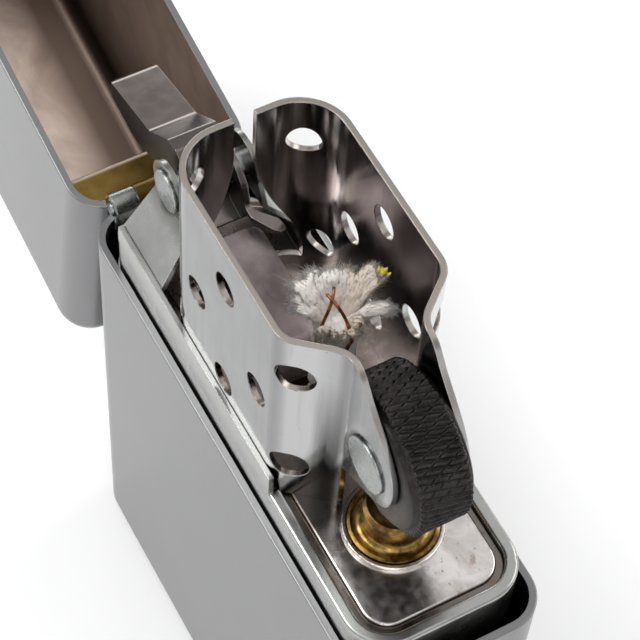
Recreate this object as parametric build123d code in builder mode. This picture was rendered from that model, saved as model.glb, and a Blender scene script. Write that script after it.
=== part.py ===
from build123d import *
import os
from math import cos, radians, sin

os.makedirs("parts", exist_ok=True)

# Windproof flip-top petrol lighter, standing on its base with the lid thrown open.
# Frame: origin at the centre of the underside, +X towards the spark wheel, hinge on -X,
# +Z up, millimetres.

# ---------------------------------------------------------------- driving dimensions
case_width = 38.0
case_depth = 12.8
case_rim_z = 35.6
corner_radius = 2.6
sheet = 0.5
foot_radius = 1.3
closed_height = 57.0
lid_top_radius = 1.8

hinge_x = -19.15
hinge_z = 35.65
split_gap = 0.1
lid_open_deg = 170.0
knuckle_radius = 1.05
knuckle_length = 1.7
knuckle_pitch = 1.75
knuckle_count = 5
pin_radius = 0.5
running_gap = 0.05
leaf_sheet = 0.4

tank_width = 35.2
tank_depth = 11.5
tank_corner = 2.9
tank_sheet = 0.36
tank_foot_z = 1.0
shoulder_z = 37.9
seam_z = 39.65
plate_z = 37.7
plate_sheet = 0.5

chimney_top_z = 54.3
chimney_y = 5.17
chimney_sheet = 0.4
chimney_flat_start = -6.25
chimney_flat_end = 4.2
chimney_end_radius = 3.15
slit_half = 0.72
air_hole_radius = 1.1
upper_hole_z = 50.8
middle_hole_z = 45.8
lower_hole_z = 41.1

cam_x = -13.85
cam_z = 43.3
cam_half_width = 1.67
cam_sheet = 0.45
cam_rivet_radius = 1.0
ear_outer_y = 2.8
ear_radius = 2.05
rivet_head_radius = 1.5
rivet_head_height = 0.25
spring_rivet_x = -4.6
spring_rivet_radius = 0.7
spring_rivet_head = 1.2

wheel_x = 10.5
wheel_z = 47.1
wheel_radius = 4.87
wheel_tooth_depth = 0.32
wheel_teeth = 44
wheel_knurl_half = 1.6
wheel_disc_radius = 4.35
wheel_half_width = 1.98
axle_radius = 0.9
wheel_ear_y = 2.28
axle_head_radius = 1.85
axle_head_height = 0.2

flint_radius = 1.2
flint_bore = 1.3
tube_radius = 1.9
wick_x = 2.2
wick_radius = 1.5

# ---------------------------------------------------------------- derived values
half_width = case_width / 2
half_depth = case_depth / 2
lid_rim_z = case_rim_z + split_gap
lid_height = closed_height - lid_rim_z
barrel_half = knuckle_count * knuckle_pitch / 2
swing = radians(-lid_open_deg)
open_x = Vector(cos(swing), 0, -sin(swing))
open_z = Vector(sin(swing), 0, cos(swing))
hinge_point = Vector(hinge_x, 0, hinge_z)
fine_edge = 0.1


def open_place(x, z):
    """Where a point of the closed lid at (x, z) lies once the lid is thrown open."""
    return hinge_point + open_x * (x - hinge_x) + open_z * (z - hinge_z)


# the closed lid's rim plane and its middle plane, both carried round with the lid
lid_plane = Plane(origin=open_place(0, lid_rim_z), x_dir=open_x, z_dir=open_z)
lid_side_plane = Plane(origin=hinge_point, x_dir=open_x, z_dir=(0, -1, 0))
hinge_side_plane = Plane(origin=hinge_point, x_dir=(1, 0, 0), z_dir=(0, -1, 0))


def finish(piece, name):
    """Label a finished piece and write it to its own file."""
    piece.part.label = name
    export_step(piece.part, f"parts/{name}.step")


def knuckle_centres(first):
    """Y of every second knuckle along the barrel, from the first one named."""
    return [(i - (knuckle_count - 1) / 2) * knuckle_pitch for i in range(first, knuckle_count, 2)]


# ---------------------------------------------------------------- case and lid
notch = knuckle_radius + 0.15
notch_width = 2 * barrel_half + 0.3

with BuildPart() as case_bottom:
    with BuildSketch():
        RectangleRounded(case_width, case_depth, corner_radius)
    extrude(amount=case_rim_z)
    fillet(case_bottom.faces().sort_by(Axis.Z)[0].edges(), foot_radius)
    offset(amount=-sheet, openings=case_bottom.faces().sort_by(Axis.Z)[-1])
    fillet(case_bottom.faces().sort_by(Axis.Z)[-1].outer_wire().edges(), fine_edge)
    # notch in the back wall that leaves room for the hinge barrel
    with BuildSketch(Plane.XY.offset(case_rim_z)):
        with Locations((-half_width + sheet / 2, 0)):
            Rectangle(2 * sheet, notch_width)
    extrude(amount=-notch, mode=Mode.SUBTRACT)
finish(case_bottom, "case_bottom")

with BuildPart() as lid:
    with BuildSketch(lid_plane):
        RectangleRounded(case_width, case_depth, corner_radius)
    extrude(amount=lid_height)
    fillet(lid.faces().sort_by(Axis.Z)[0].edges(), lid_top_radius)
    offset(amount=-sheet, openings=lid.faces().sort_by(Axis.Z)[-1])
    fillet(lid.faces().sort_by(Axis.Z)[-1].outer_wire().edges(), fine_edge)
    with BuildSketch(lid_plane):
        with Locations((-half_width + sheet / 2, 0)):
            Rectangle(2 * sheet, notch_width)
    extrude(amount=notch, mode=Mode.SUBTRACT)
finish(lid, "lid")

# ---------------------------------------------------------------- hinge
leaf_out = -half_width + sheet - hinge_x
leaf_in = leaf_out + leaf_sheet
leaf_length = 8.6
leaf_half = half_depth - corner_radius - 0.1

with BuildPart() as hinge_plate_case:
    with BuildSketch(hinge_side_plane):
        with BuildLine():
            Polyline(
                (leaf_out, -leaf_length),
                (leaf_in, -leaf_length),
                (leaf_in, -notch),
                (leaf_out, -notch),
                close=True,
            )
        make_face()
    extrude(amount=leaf_half, both=True)
    for y in knuckle_centres(0):
        with BuildSketch(Plane(origin=(hinge_x, y, hinge_z), x_dir=(1, 0, 0), z_dir=(0, -1, 0))):
            Circle(knuckle_radius)
            with Locations(((leaf_out + leaf_in) / 2, -notch / 2)):
                Rectangle(leaf_sheet, notch + 0.02)
            Circle(pin_radius + 0.02, mode=Mode.SUBTRACT)
        extrude(amount=knuckle_length / 2, both=True)
finish(hinge_plate_case, "hinge_plate_case")

# the lid's leaf carries a bent ledge that reaches into the mouth of the lid
ledge_reach = 3.35
ledge_half = half_depth - sheet - 0.12
ledge_low = 0.6
ledge_top = 1.3
ledge_tip = (ledge_reach, (ledge_low + ledge_top) / 2)
ledge_start_low = (leaf_in + 0.05, ledge_low)
ledge_start_top = (leaf_in + 0.3, ledge_top - 0.1)
lip_low = (ledge_reach - 0.45, ledge_low)
lip_top = (ledge_reach - 0.4, ledge_top)
with BuildPart() as hinge_plate_lid:
    with BuildSketch(lid_side_plane):
        with BuildLine():
            Polyline((leaf_out, leaf_length), (leaf_out, 1.35), ledge_start_low, lip_low)
            ThreePointArc(lip_low, ledge_tip, lip_top)
            Polyline(
                lip_top,
                ledge_start_top,
                (leaf_in, 1.9),
                (leaf_in, leaf_length),
                (leaf_out, leaf_length),
            )
        make_face()
    extrude(amount=leaf_half, both=True)
    with BuildSketch(lid_side_plane):
        with BuildLine():
            Polyline(ledge_start_top, ledge_start_low, lip_low)
            ThreePointArc(lip_low, ledge_tip, lip_top)
            Line(lip_top, ledge_start_top)
        make_face()
    extrude(amount=ledge_half, both=True)
    # the ledge follows the rounded corners of the lid
    with BuildSketch(lid_plane):
        RectangleRounded(case_width - 2 * sheet, case_depth - 2 * sheet - 0.2, corner_radius - sheet)
    extrude(amount=lid_height, mode=Mode.INTERSECT)
    for y in knuckle_centres(1):
        with BuildSketch(Plane(origin=(hinge_x, y, hinge_z), x_dir=open_x, z_dir=(0, -1, 0))):
            Circle(knuckle_radius)
            with Locations(((leaf_out + leaf_in) / 2, 0.7)):
                Rectangle(leaf_sheet, 1.5)
            Circle(pin_radius + running_gap, mode=Mode.SUBTRACT)
        extrude(amount=knuckle_length / 2, both=True)
finish(hinge_plate_lid, "hinge_plate_lid")

with BuildPart() as hinge_pin:
    with BuildSketch(hinge_side_plane):
        Circle(pin_radius)
    extrude(amount=barrel_half + 0.15, both=True)
    chamfer(hinge_pin.edges().filter_by(GeomType.CIRCLE), 0.1)
finish(hinge_pin, "hinge_pin")

# ---------------------------------------------------------------- insert tank
# The tank is a tube open below; its wall stands up along the chimney, is cut low at the
# hinge end, and is rolled inwards round the wheel end of the top plate.
low_end_x = -15.1
low_end_z = 34.2
rolled_start_x = 5.4
rolled_width = 0.85
rolled_depth = 0.7
ear_foot_z = 39.2
ear_bend_z = 41.8
cam_ear_end_x = -9.6

with BuildPart() as insert_tank:
    with BuildSketch(Plane.XY.offset(tank_foot_z)):
        RectangleRounded(tank_width, tank_depth, tank_corner)
        RectangleRounded(
            tank_width - 2 * tank_sheet,
            tank_depth - 2 * tank_sheet,
            tank_corner - tank_sheet,
            mode=Mode.SUBTRACT,
        )
    extrude(amount=seam_z - tank_foot_z)
    # low end under the cam
    with BuildSketch(Plane.XZ):
        with Locations(((low_end_x - half_width) / 2, (low_end_z + seam_z) / 2 + 0.5)):
            Rectangle(half_width + low_end_x, seam_z - low_end_z + 1)
        with Locations(((rolled_start_x + half_width) / 2, (shoulder_z + seam_z) / 2 + 0.5)):
            Rectangle(half_width - rolled_start_x, seam_z - shoulder_z + 1)
    extrude(amount=half_depth, both=True, mode=Mode.SUBTRACT)
    # rolled edge round the wheel end
    with BuildSketch(Plane.XY.offset(shoulder_z - rolled_depth)):
        RectangleRounded(tank_width - 0.1, tank_depth - 0.1, tank_corner - 0.05)
        RectangleRounded(
            tank_width - 2 * rolled_width,
            tank_depth - 2 * rolled_width,
            tank_corner - rolled_width,
            mode=Mode.SUBTRACT,
        )
        with Locations(((rolled_start_x - half_width) / 2, 0)):
            Rectangle(half_width + rolled_start_x, case_depth, mode=Mode.SUBTRACT)
    extrude(amount=rolled_depth)
    rolled_top = insert_tank.faces().filter_by(Plane.XY).group_by(Axis.Z)[-2]
    fillet(rolled_top.edges().filter_by(lambda e: e.center().X > rolled_start_x + 0.05), 0.22)
    # the two ears that carry the cam rivet
    with BuildPart(mode=Mode.PRIVATE) as ear_band:
        with BuildSketch(Plane.YZ.offset(-16.0)):
            with BuildLine():
                Polyline(
                    (tank_depth / 2, ear_foot_z - 1),
                    (tank_depth / 2, ear_foot_z),
                    (ear_outer_y, ear_bend_z),
                    (ear_outer_y, cam_z + 3),
                    (ear_outer_y - tank_sheet, cam_z + 3),
                    (ear_outer_y - tank_sheet, ear_bend_z - 0.1),
                    (tank_depth / 2 - tank_sheet, ear_foot_z - 0.15),
                    (tank_depth / 2 - tank_sheet, ear_foot_z - 1),
                    close=True,
                )
            make_face()
        extrude(amount=9.5)
        mirror(about=Plane.XZ)
        with BuildSketch(Plane.XZ):
            with BuildLine():
                Polyline(
                    (cam_x - ear_radius, cam_z),
                    (low_end_x, ear_foot_z + 0.2),
                    (low_end_x, ear_foot_z - 1.1),
                    (cam_ear_end_x, ear_foot_z - 1.1),
                    (cam_ear_end_x, ear_foot_z + 0.1),
                    (cam_x + ear_radius, cam_z),
                )
                ThreePointArc(
                    (cam_x + ear_radius, cam_z),
                    (cam_x, cam_z + ear_radius),
                    (cam_x - ear_radius, cam_z),
                )
            make_face()
            with Locations((cam_x, cam_z)):
                Circle(cam_rivet_radius + 0.01, mode=Mode.SUBTRACT)
        extrude(amount=half_depth, both=True, mode=Mode.INTERSECT)
    add(ear_band.part)
finish(insert_tank, "insert_tank")

# ---------------------------------------------------------------- top plate of the insert
plate_gap = 0.03
plate_start_x = -14.6
plate_end_x = tank_width / 2 - rolled_width
plate_half_y = tank_depth / 2 - tank_sheet - plate_gap
groove_width = 0.42
groove_depth = 0.25
ring_radius = 3.15
ring_width = 0.32
ring_height = 0.35

with BuildPart() as top_plate:
    with BuildSketch(Plane.XY.offset(plate_z - plate_sheet - groove_depth)):
        with Locations(((plate_start_x + plate_end_x) / 2, 0)):
            RectangleRounded(
                plate_end_x - plate_start_x - 2 * plate_gap,
                tank_depth - 2 * rolled_width - 2 * plate_gap,
                tank_corner - rolled_width,
            )
    extrude(amount=plate_sheet)
    # raised field inside a groove
    with BuildSketch(Plane.XY.offset(plate_z - groove_depth - 0.05)):
        with Locations(((plate_start_x + plate_end_x) / 2, 0)):
            RectangleRounded(
                plate_end_x - plate_start_x - 2 * groove_width,
                tank_depth - 2 * rolled_width - 2 * groove_width,
                tank_corner - rolled_width - 0.3,
            )
    extrude(amount=groove_depth + 0.05)
    fillet(top_plate.faces().sort_by(Axis.Z)[-1].edges(), 0.2)
    # seat that carries the foot of the chimney
    with BuildSketch(Plane.XY.offset(plate_z - plate_sheet)):
        with Locations(((chimney_flat_start + rolled_start_x) / 2, 0)):
            Rectangle(rolled_start_x - chimney_flat_start - 0.4, 2 * plate_half_y)
    extrude(amount=plate_sheet)
    # rolled ring that grips the collar of the flint tube
    with BuildSketch(Plane.XY.offset(plate_z - 0.1)):
        with Locations((wheel_x, 0)):
            Circle(ring_radius)
            Circle(ring_radius - ring_width, mode=Mode.SUBTRACT)
    extrude(amount=ring_height + 0.1)
    ring_top = top_plate.faces().sort_by(Axis.Z)[-1]
    fillet(ring_top.edges(), 0.1)
    # holes for the wick, the flint tube and the spring's rivet
    with BuildSketch(Plane.XY.offset(plate_z - 2)):
        with Locations((wick_x, 0)):
            Circle(wick_radius + 0.7)
        with Locations((wheel_x, 0)):
            Circle(tube_radius + 0.02)
        with Locations((spring_rivet_x, 0)):
            Circle(spring_rivet_radius + 0.02)
    extrude(amount=4, mode=Mode.SUBTRACT)
finish(top_plate, "top_plate")

# ---------------------------------------------------------------- chimney
# Half of the plan, from the slit at the cam end round to the ear beside the wheel; the two
# flanks of the S-bend turn through the same angle.
bend_deg = 50.0
bend_radius = 1.7
ear_start_x = 8.2
ear_end_x = 13.9
corner_y = chimney_y - chimney_end_radius
end_x = chimney_flat_start - chimney_end_radius
bend_rise = bend_radius * (1 - cos(radians(bend_deg)))
bend_run = bend_radius * sin(radians(bend_deg))


def wall_half(side):
    """Plan of one side wall, as a band of the sheet's thickness."""
    start = (end_x, side * slit_half)
    first = (end_x, side * corner_y)
    with BuildLine() as path:
        Line(start, first)
        RadiusArc(first, (chimney_flat_start, side * chimney_y), side * chimney_end_radius)
        Line((chimney_flat_start, side * chimney_y), (chimney_flat_end, side * chimney_y))
        RadiusArc(
            (chimney_flat_end, side * chimney_y),
            (chimney_flat_end + bend_run, side * (chimney_y - bend_rise)),
            side * bend_radius,
        )
        Line(
            (chimney_flat_end + bend_run, side * (chimney_y - bend_rise)),
            (ear_start_x - bend_run, side * (wheel_ear_y + bend_rise)),
        )
        RadiusArc(
            (ear_start_x - bend_run, side * (wheel_ear_y + bend_rise)),
            (ear_start_x, side * wheel_ear_y),
            -side * bend_radius,
        )
        Line((ear_start_x, side * wheel_ear_y), (ear_end_x, side * wheel_ear_y))
    return path


def hole_plane(x, y, z, plan_deg):
    """Plane across an air hole whose axis points along plan_deg."""
    return Plane(origin=(x, y, z), z_dir=(cos(radians(plan_deg)), sin(radians(plan_deg)), 0))


end_holes = ((145.0, upper_hole_z), (113.0, lower_hole_z))
bend_hole = (5.5, 4.45)
mid_hole_x = -1.3
ear_root_x = 8.0
ear_root_z = 42.8
ear_nose = (13.25, 47.5)
ear_outline = ((9.6, 53.0), (11.6, 50.9), (12.8, 49.3))
ear_underside = ((12.2, 45.1), (10.3, 44.0))
arch_foot_z = plate_z + 1.0
arch_top_z = 50.6
arch_points = ((1.15, 47.7), (1.95, 45.2), (2.95, 43.1), (3.75, 41.3), (4.0, 39.6))
mirrored_arch = [(-y, z) for y, z in arch_points]

with BuildPart() as chimney:
    for side in (1, -1):
        with BuildSketch(Plane.XY.offset(plate_z)):
            trace(wall_half(side).line, chimney_sheet)
        extrude(amount=chimney_top_z - plate_z)
    # low sill that ties the two sides together across the cam end
    with BuildSketch(Plane.XY.offset(plate_z)):
        with Locations((end_x, 0)):
            Rectangle(chimney_sheet, 2 * corner_y)
    extrude(amount=arch_foot_z - plate_z)
    # side outline of the two ears beside the wheel
    with BuildSketch(Plane.XZ):
        with BuildLine():
            Spline((ear_root_x, chimney_top_z), *ear_outline, ear_nose, tangents=((1, -0.15), (0, -1)))
            Spline(ear_nose, *ear_underside, (ear_root_x, ear_root_z), tangents=((0, -1), (-1, -0.6)))
            Polyline(
                (ear_root_x, ear_root_z),
                (ear_root_x, plate_z - 1),
                (ear_end_x + 1, plate_z - 1),
                (ear_end_x + 1, chimney_top_z + 1),
                (ear_root_x, chimney_top_z + 1),
                (ear_root_x, chimney_top_z),
            )
        make_face()
    extrude(amount=half_depth, both=True, mode=Mode.SUBTRACT)
    # arch at the cam end, below the slit
    with BuildSketch(Plane.YZ.offset(end_x - 1)):
        with BuildLine():
            Line((-slit_half, arch_top_z), (slit_half, arch_top_z))
            Spline((slit_half, arch_top_z), *arch_points, tangents=((0, -1), (0.1, -1)))
            Line(arch_points[-1], (arch_points[-1][0], arch_foot_z))
            Line((arch_points[-1][0], arch_foot_z), (-arch_points[-1][0], arch_foot_z))
            Line((-arch_points[-1][0], arch_foot_z), mirrored_arch[-1])
            Spline((-slit_half, arch_top_z), *mirrored_arch, tangents=((0, -1), (-0.1, -1)))
        make_face()
    extrude(amount=2.0, mode=Mode.SUBTRACT)
    # air holes: three, two and three in the rows of each side
    for plan_deg, z in end_holes:
        hole_x = chimney_flat_start + chimney_end_radius * cos(radians(plan_deg))
        hole_y = corner_y + chimney_end_radius * sin(radians(plan_deg))
        for side in (1, -1):
            with BuildSketch(hole_plane(hole_x, side * hole_y, z, side * plan_deg)):
                Circle(air_hole_radius)
            extrude(amount=1.2, both=True, mode=Mode.SUBTRACT)
            with BuildSketch(hole_plane(bend_hole[0], side * bend_hole[1], z, side * 45.0)):
                Circle(air_hole_radius + 0.15)
            extrude(amount=1.2, both=True, mode=Mode.SUBTRACT)
    with BuildSketch(Plane.XZ):
        with Locations((mid_hole_x, upper_hole_z), (mid_hole_x, lower_hole_z)):
            Circle(air_hole_radius)
        with Locations((mid_hole_x - 3.5, middle_hole_z), (mid_hole_x + 4.0, middle_hole_z)):
            Circle(air_hole_radius)
        with Locations((wheel_x, wheel_z)):
            Circle(axle_radius + 0.01)
    extrude(amount=half_depth, both=True, mode=Mode.SUBTRACT)
finish(chimney, "chimney")

# ---------------------------------------------------------------- cam, its rivet and its spring
# The web runs from the tip over two sharp bends to a crest, and then down behind the rivet
# to a lip; a cheek hangs from each side of it and ends in a foot that is bent outwards.
cheek_top_z = cam_z + 1.5
foot_top_z = 42.3
foot_sheet = 0.4
foot_tip_x = -8.5
tip_x = -25.15
tip_low_z = 40.3
tip_rounding = 0.9
tip_corners = (0.2, 1.2)
web_corners = (0.9, 0.45, 0.3, 0.25, 0.8, 0.9)
foot_corners = (0.4, 0.1, 0.1, 0.2)
cheek_corners = (0.3, 0.3, 1.0, 1.0, 1.5)
cam_corners = tip_corners + web_corners + foot_corners + cheek_corners
with BuildPart() as cam_lever:
    with BuildSketch(Plane.XZ):
        with BuildLine():
            FilletPolyline(
                (tip_x, tip_low_z),
                (-24.95, 41.4),
                (-18.7, 43.0),
                (-16.15, 45.15),
                (-15.0, 45.3),
                (-14.4, cheek_top_z),
                (-12.7, cheek_top_z),
                (-11.7, 43.9),
                (-11.2, foot_top_z),
                (-10.3, foot_top_z),
                (-10.3, foot_top_z - foot_sheet),
                (-11.1, foot_top_z - foot_sheet),
                (-11.6, 40.5),
                (-12.6, 40.6),
                (-14.6, 41.6),
                (-17.0, 41.0),
                (-21.0, 39.5),
                (tip_x, tip_low_z),
                radius=cam_corners,
            )
        make_face()
    extrude(amount=cam_half_width, both=True)
    # hollow under the web, between the cheeks
    with BuildSketch(Plane.XZ):
        with BuildLine():
            FilletPolyline(
                (-26.0, 40.8),
                (-24.9, 40.8),
                (-18.55, 42.55),
                (-16.0, 44.7),
                (-15.55, 44.75),
                (-15.75, 43.8),
                (-15.65, 42.5),
                (-14.5, 41.05),
                (-11.8, 40.1),
                (-11.8, 38.0),
                (-26.0, 38.0),
                (-26.0, 40.8),
                radius=(0, 0.1, 0.9, 0.1, 0.1, 0.6, 0.6, 0.6, 0, 0, 0),
            )
        make_face()
        # clear of the rivet, in front of the lip
        with BuildLine():
            FilletPolyline(
                (-14.95, 48.0),
                (-14.95, 44.9),
                (-15.25, 43.8),
                (-15.15, 42.7),
                (-14.2, 41.6),
                (-11.6, 40.7),
                (-11.0, 38.0),
                (-5.0, 38.0),
                (-5.0, 48.0),
                (-14.95, 48.0),
                radius=(0, 0.3, 0.6, 0.6, 0.6, 0.3, 0, 0, 0),
            )
        make_face()
    extrude(amount=cam_half_width - cam_sheet, both=True, mode=Mode.SUBTRACT)
    # rounded corners at the tip
    for side in (1, -1):
        with BuildSketch(Plane.XY.offset(tip_low_z)):
            with Locations((tip_x, side * cam_half_width)):
                Rectangle(2 * tip_rounding, 2 * tip_rounding)
            with Locations((tip_x + tip_rounding, side * (cam_half_width - tip_rounding))):
                Circle(tip_rounding, mode=Mode.SUBTRACT)
        extrude(amount=case_depth, both=True, mode=Mode.SUBTRACT)
    # the two feet
    with BuildSketch(Plane.XY.offset(foot_top_z - foot_sheet)):
        with BuildLine():
            FilletPolyline(
                (-10.9, cam_half_width - cam_sheet),
                (-10.3, cam_half_width - cam_sheet),
                (-8.9, 2.0),
                (foot_tip_x, 2.4),
                (-8.6, 2.9),
                (-9.5, 2.75),
                (-10.4, cam_half_width + 0.3),
                (-10.9, cam_half_width),
                (-10.9, cam_half_width - cam_sheet),
                radius=(0, 0.3, 0.2, 0.25, 0.25, 0.3, 0.3, 0),
            )
        make_face()
        mirror(about=Plane.XZ)
    extrude(amount=foot_sheet)
    with BuildSketch(Plane.XZ):
        with Locations((cam_x, cam_z)):
            Circle(cam_rivet_radius + running_gap)
    extrude(amount=case_depth, both=True, mode=Mode.SUBTRACT)
finish(cam_lever, "cam_lever")

with BuildPart() as cam_rivet:
    with BuildSketch(Plane.XZ):
        with Locations((cam_x, cam_z)):
            Circle(cam_rivet_radius)
    extrude(amount=ear_outer_y + rivet_head_height / 2, both=True)
    for side in (1, -1):
        with BuildSketch(Plane.XZ.offset(side * ear_outer_y)):
            with Locations((cam_x, cam_z)):
                Circle(rivet_head_radius)
        extrude(amount=side * rivet_head_height)
    fillet(cam_rivet.edges().filter_by(GeomType.CIRCLE).group_by(Axis.Y)[-1], fine_edge)
    fillet(cam_rivet.edges().filter_by(GeomType.CIRCLE).group_by(Axis.Y)[0], fine_edge)
finish(cam_rivet, "cam_rivet")

spring_top = 41.1
spring_sheet = 0.3
spring_half_width = 1.8
spring_bend_x = -2.0
spring_tip_x = -10.5
spring_root_x = -6.4
spring_low = plate_z + 0.02 + spring_sheet / 2
spring_high = spring_top - spring_sheet / 2
spring_bend = (spring_high - spring_low) / 2
with BuildPart() as cam_spring:
    with BuildSketch(Plane.XZ):
        with BuildLine() as leaf_path:
            Line((spring_tip_x, spring_high), (spring_bend_x, spring_high))
            ThreePointArc(
                (spring_bend_x, spring_high),
                (spring_bend_x + spring_bend, (spring_low + spring_high) / 2),
                (spring_bend_x, spring_low),
            )
            Line((spring_bend_x, spring_low), (spring_root_x, spring_low))
        trace(leaf_path.line, spring_sheet)
    extrude(amount=spring_half_width, both=True)
    tips = cam_spring.edges().filter_by(Axis.Z).group_by(Axis.X)
    fillet(tips[0], 0.7)
    with BuildSketch(Plane.XY.offset(plate_z - 0.5)):
        with Locations((spring_rivet_x, 0)):
            Circle(spring_rivet_radius + 0.02)
    extrude(amount=1.2, mode=Mode.SUBTRACT)
finish(cam_spring, "cam_spring")

rivet_foot_z = plate_z - plate_sheet - 0.65
with BuildPart() as cam_spring_rivet:
    with BuildSketch(Plane.XY.offset(rivet_foot_z)):
        with Locations((spring_rivet_x, 0)):
            Circle(spring_rivet_radius)
    extrude(amount=1.9)
    with BuildSketch(Plane.XY.offset(plate_z + spring_sheet + 0.05)):
        with Locations((spring_rivet_x, 0)):
            Circle(spring_rivet_head)
    extrude(amount=0.5)
    with BuildSketch(Plane.XY.offset(rivet_foot_z)):
        with Locations((spring_rivet_x, 0)):
            Circle(spring_rivet_head)
    extrude(amount=0.35)
finish(cam_spring_rivet, "cam_spring_rivet")

# ---------------------------------------------------------------- spark wheel and axle
with BuildPart() as spark_wheel:
    with BuildSketch(Plane.XZ):
        with Locations((wheel_x, wheel_z)):
            Circle(wheel_radius)
    extrude(amount=wheel_knurl_half, both=True)
    with BuildSketch(Plane.XZ):
        with Locations((wheel_x, wheel_z)):
            with PolarLocations(wheel_radius, wheel_teeth):
                RegularPolygon(wheel_tooth_depth, 4)
    extrude(amount=wheel_knurl_half, both=True, mode=Mode.SUBTRACT)
    with BuildSketch(Plane.XZ):
        with Locations((wheel_x, wheel_z)):
            Circle(wheel_disc_radius)
    extrude(amount=wheel_half_width, both=True)
    with BuildSketch(Plane.XZ):
        with Locations((wheel_x, wheel_z)):
            Circle(axle_radius + running_gap)
    extrude(amount=case_depth, both=True, mode=Mode.SUBTRACT)
finish(spark_wheel, "spark_wheel")

with BuildPart() as wheel_axle:
    with BuildSketch(Plane.XZ):
        with Locations((wheel_x, wheel_z)):
            Circle(axle_radius)
    axle_half = wheel_ear_y + chimney_sheet / 2
    extrude(amount=axle_half + axle_head_height / 2, both=True)
    for side in (1, -1):
        with BuildSketch(Plane.XZ.offset(side * axle_half)):
            with Locations((wheel_x, wheel_z)):
                Circle(axle_head_radius)
        extrude(amount=side * axle_head_height)
    fillet(wheel_axle.edges().filter_by(GeomType.CIRCLE).group_by(Axis.Y)[-1], fine_edge)
    fillet(wheel_axle.edges().filter_by(GeomType.CIRCLE).group_by(Axis.Y)[0], fine_edge)
finish(wheel_axle, "wheel_axle")

# ---------------------------------------------------------------- flint tube, flint and feed
tube_foot_z = 2.0
neck_radius = tube_radius + 0.1
neck_top_z = plate_z + 2.8
collar_radius = 2.8
collar_foot_z = plate_z + 0.02
collar_rim = (collar_radius - 0.2, plate_z + 0.5)
collar_neck = (neck_radius, plate_z + 1.3)
with BuildPart() as flint_tube:
    with BuildSketch(Plane(origin=(wheel_x, 0, 0), x_dir=(1, 0, 0), z_dir=(0, -1, 0))):
        with BuildLine():
            Polyline(
                (flint_bore, tube_foot_z),
                (tube_radius, tube_foot_z),
                (tube_radius, collar_foot_z),
                (collar_radius, collar_foot_z),
                (collar_radius, plate_z + 0.45),
                collar_rim,
            )
            ThreePointArc(collar_rim, (neck_radius + 0.25, plate_z + 0.45), collar_neck)
            Polyline(
                collar_neck,
                (neck_radius, neck_top_z - 0.3),
                (neck_radius - 0.2, neck_top_z),
                (flint_bore, neck_top_z),
                (flint_bore, tube_foot_z),
            )
        make_face()
    revolve(axis=Axis((wheel_x, 0, 0), (0, 0, 1)))
finish(flint_tube, "flint_tube")

flint_top_z = wheel_z - wheel_radius - 0.06
flint_length = 5.0
plunger_length = 5.0
plunger_head = 2.2
plunger_stem_radius = 0.6
with BuildPart() as flint:
    with BuildSketch(Plane.XY.offset(flint_top_z - flint_length)):
        with Locations((wheel_x, 0)):
            Circle(flint_radius)
    extrude(amount=flint_length)
finish(flint, "flint")

plunger_top_z = flint_top_z - flint_length - 0.02
with BuildPart() as flint_plunger:
    with BuildSketch(Plane.XY.offset(plunger_top_z - plunger_head)):
        with Locations((wheel_x, 0)):
            Circle(flint_radius)
    extrude(amount=plunger_head)
    with BuildSketch(Plane.XY.offset(plunger_top_z - plunger_length)):
        with Locations((wheel_x, 0)):
            Circle(plunger_stem_radius)
    extrude(amount=plunger_length - plunger_head)
finish(flint_plunger, "flint_plunger")

screw_top_z = 6.0
screw_head_z = 0.9
screw_head_height = 1.0
screw_head_radius = 2.3
screw_slot = 0.6
spring_wire = 0.18
spring_coil = 1.0
coil_turns = 12
coil_foot_z = screw_top_z + spring_wire + 0.02
coil_height = plunger_top_z - plunger_head - spring_wire - 0.02 - coil_foot_z
with BuildPart() as flint_spring:
    with BuildLine():
        Helix(
            pitch=coil_height / coil_turns,
            height=coil_height,
            radius=spring_coil,
            center=(wheel_x, 0, coil_foot_z),
        )
    with BuildSketch(Plane(origin=(wheel_x + spring_coil, 0, coil_foot_z), z_dir=(0, 1, 0))):
        Circle(spring_wire)
    sweep(is_frenet=True)
finish(flint_spring, "flint_spring")

with BuildPart() as flint_screw:
    with BuildSketch(Plane.XY.offset(screw_head_z + screw_head_height)):
        with Locations((wheel_x, 0)):
            Circle(flint_bore - 0.02)
    extrude(amount=screw_top_z - screw_head_z - screw_head_height)
    with BuildSketch(Plane.XY.offset(screw_head_z)):
        with Locations((wheel_x, 0)):
            Circle(screw_head_radius)
    extrude(amount=screw_head_height)
    with BuildSketch(Plane.XY.offset(screw_head_z)):
        with Locations((wheel_x, 0)):
            Rectangle(2 * screw_head_radius + 0.4, screw_slot)
    extrude(amount=screw_head_height / 2, mode=Mode.SUBTRACT)
finish(flint_screw, "flint_screw")

# ---------------------------------------------------------------- fuel packing, felt and wick
packing_top_z = 36.2
packing_foot_z = 3.4
ball_count = 5
ball_height = (packing_top_z - packing_foot_z) / ball_count
ball_left = -16.2
ball_right = wheel_x - tube_radius - 0.4
ball_depth = tank_depth - 2 * tank_sheet - 0.8
wick_tunnel = wick_radius + 0.5
for ball in range(ball_count):
    foot_z = packing_foot_z + ball * ball_height
    left = ball_left if foot_z + ball_height < low_end_z - 1 else plate_start_x + 0.6
    with BuildPart() as cotton_ball:
        with BuildSketch(Plane.XY.offset(foot_z + 0.1)):
            with Locations(((left + ball_right) / 2, 0)):
                RectangleRounded(ball_right - left, ball_depth, 3.2)
        extrude(amount=ball_height - 0.2)
        fillet(cotton_ball.faces().filter_by(Plane.XY).edges(), 1.6)
        with BuildSketch(Plane.XY.offset(foot_z - 1)):
            with Locations((wick_x, 0)):
                Circle(wick_tunnel)
        extrude(amount=ball_height + 2, mode=Mode.SUBTRACT)
    finish(cotton_ball, f"cotton_ball_{ball + 1}")

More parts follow.
